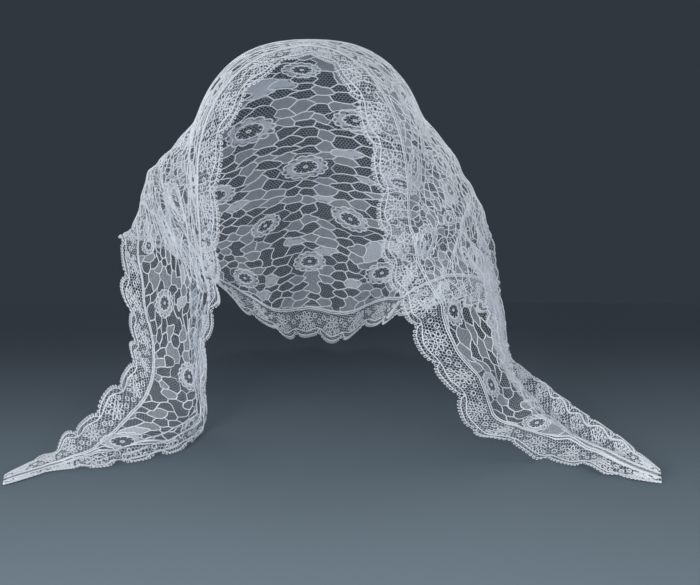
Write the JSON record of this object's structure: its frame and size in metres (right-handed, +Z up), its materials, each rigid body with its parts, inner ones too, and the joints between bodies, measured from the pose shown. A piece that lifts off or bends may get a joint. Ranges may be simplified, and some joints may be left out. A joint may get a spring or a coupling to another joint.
{
  "type": "lace mantilla veil",
  "caption": "Triangular white floral lace head veil with a scalloped lace edging, shaped as worn, with two tails forward.",
  "frame": {"origin": "where the veil rests on the top of the wearer's head", "axes": "+Z up, the wearer faces -Y, +X towards the wearer's left tail, along the longest reach"},
  "size_m": [0.426, 0.2439, 0.2576],
  "materials": {
    "panel_lace": "soft matte nylon net",
    "border_lace": "soft matte nylon lace with a corded edge"
  },
  "bodies": {
    "root": {"lace_panel": "panel_lace", "front_border": "border_lace", "back_border": "border_lace"}
  },
  "joints": []
}
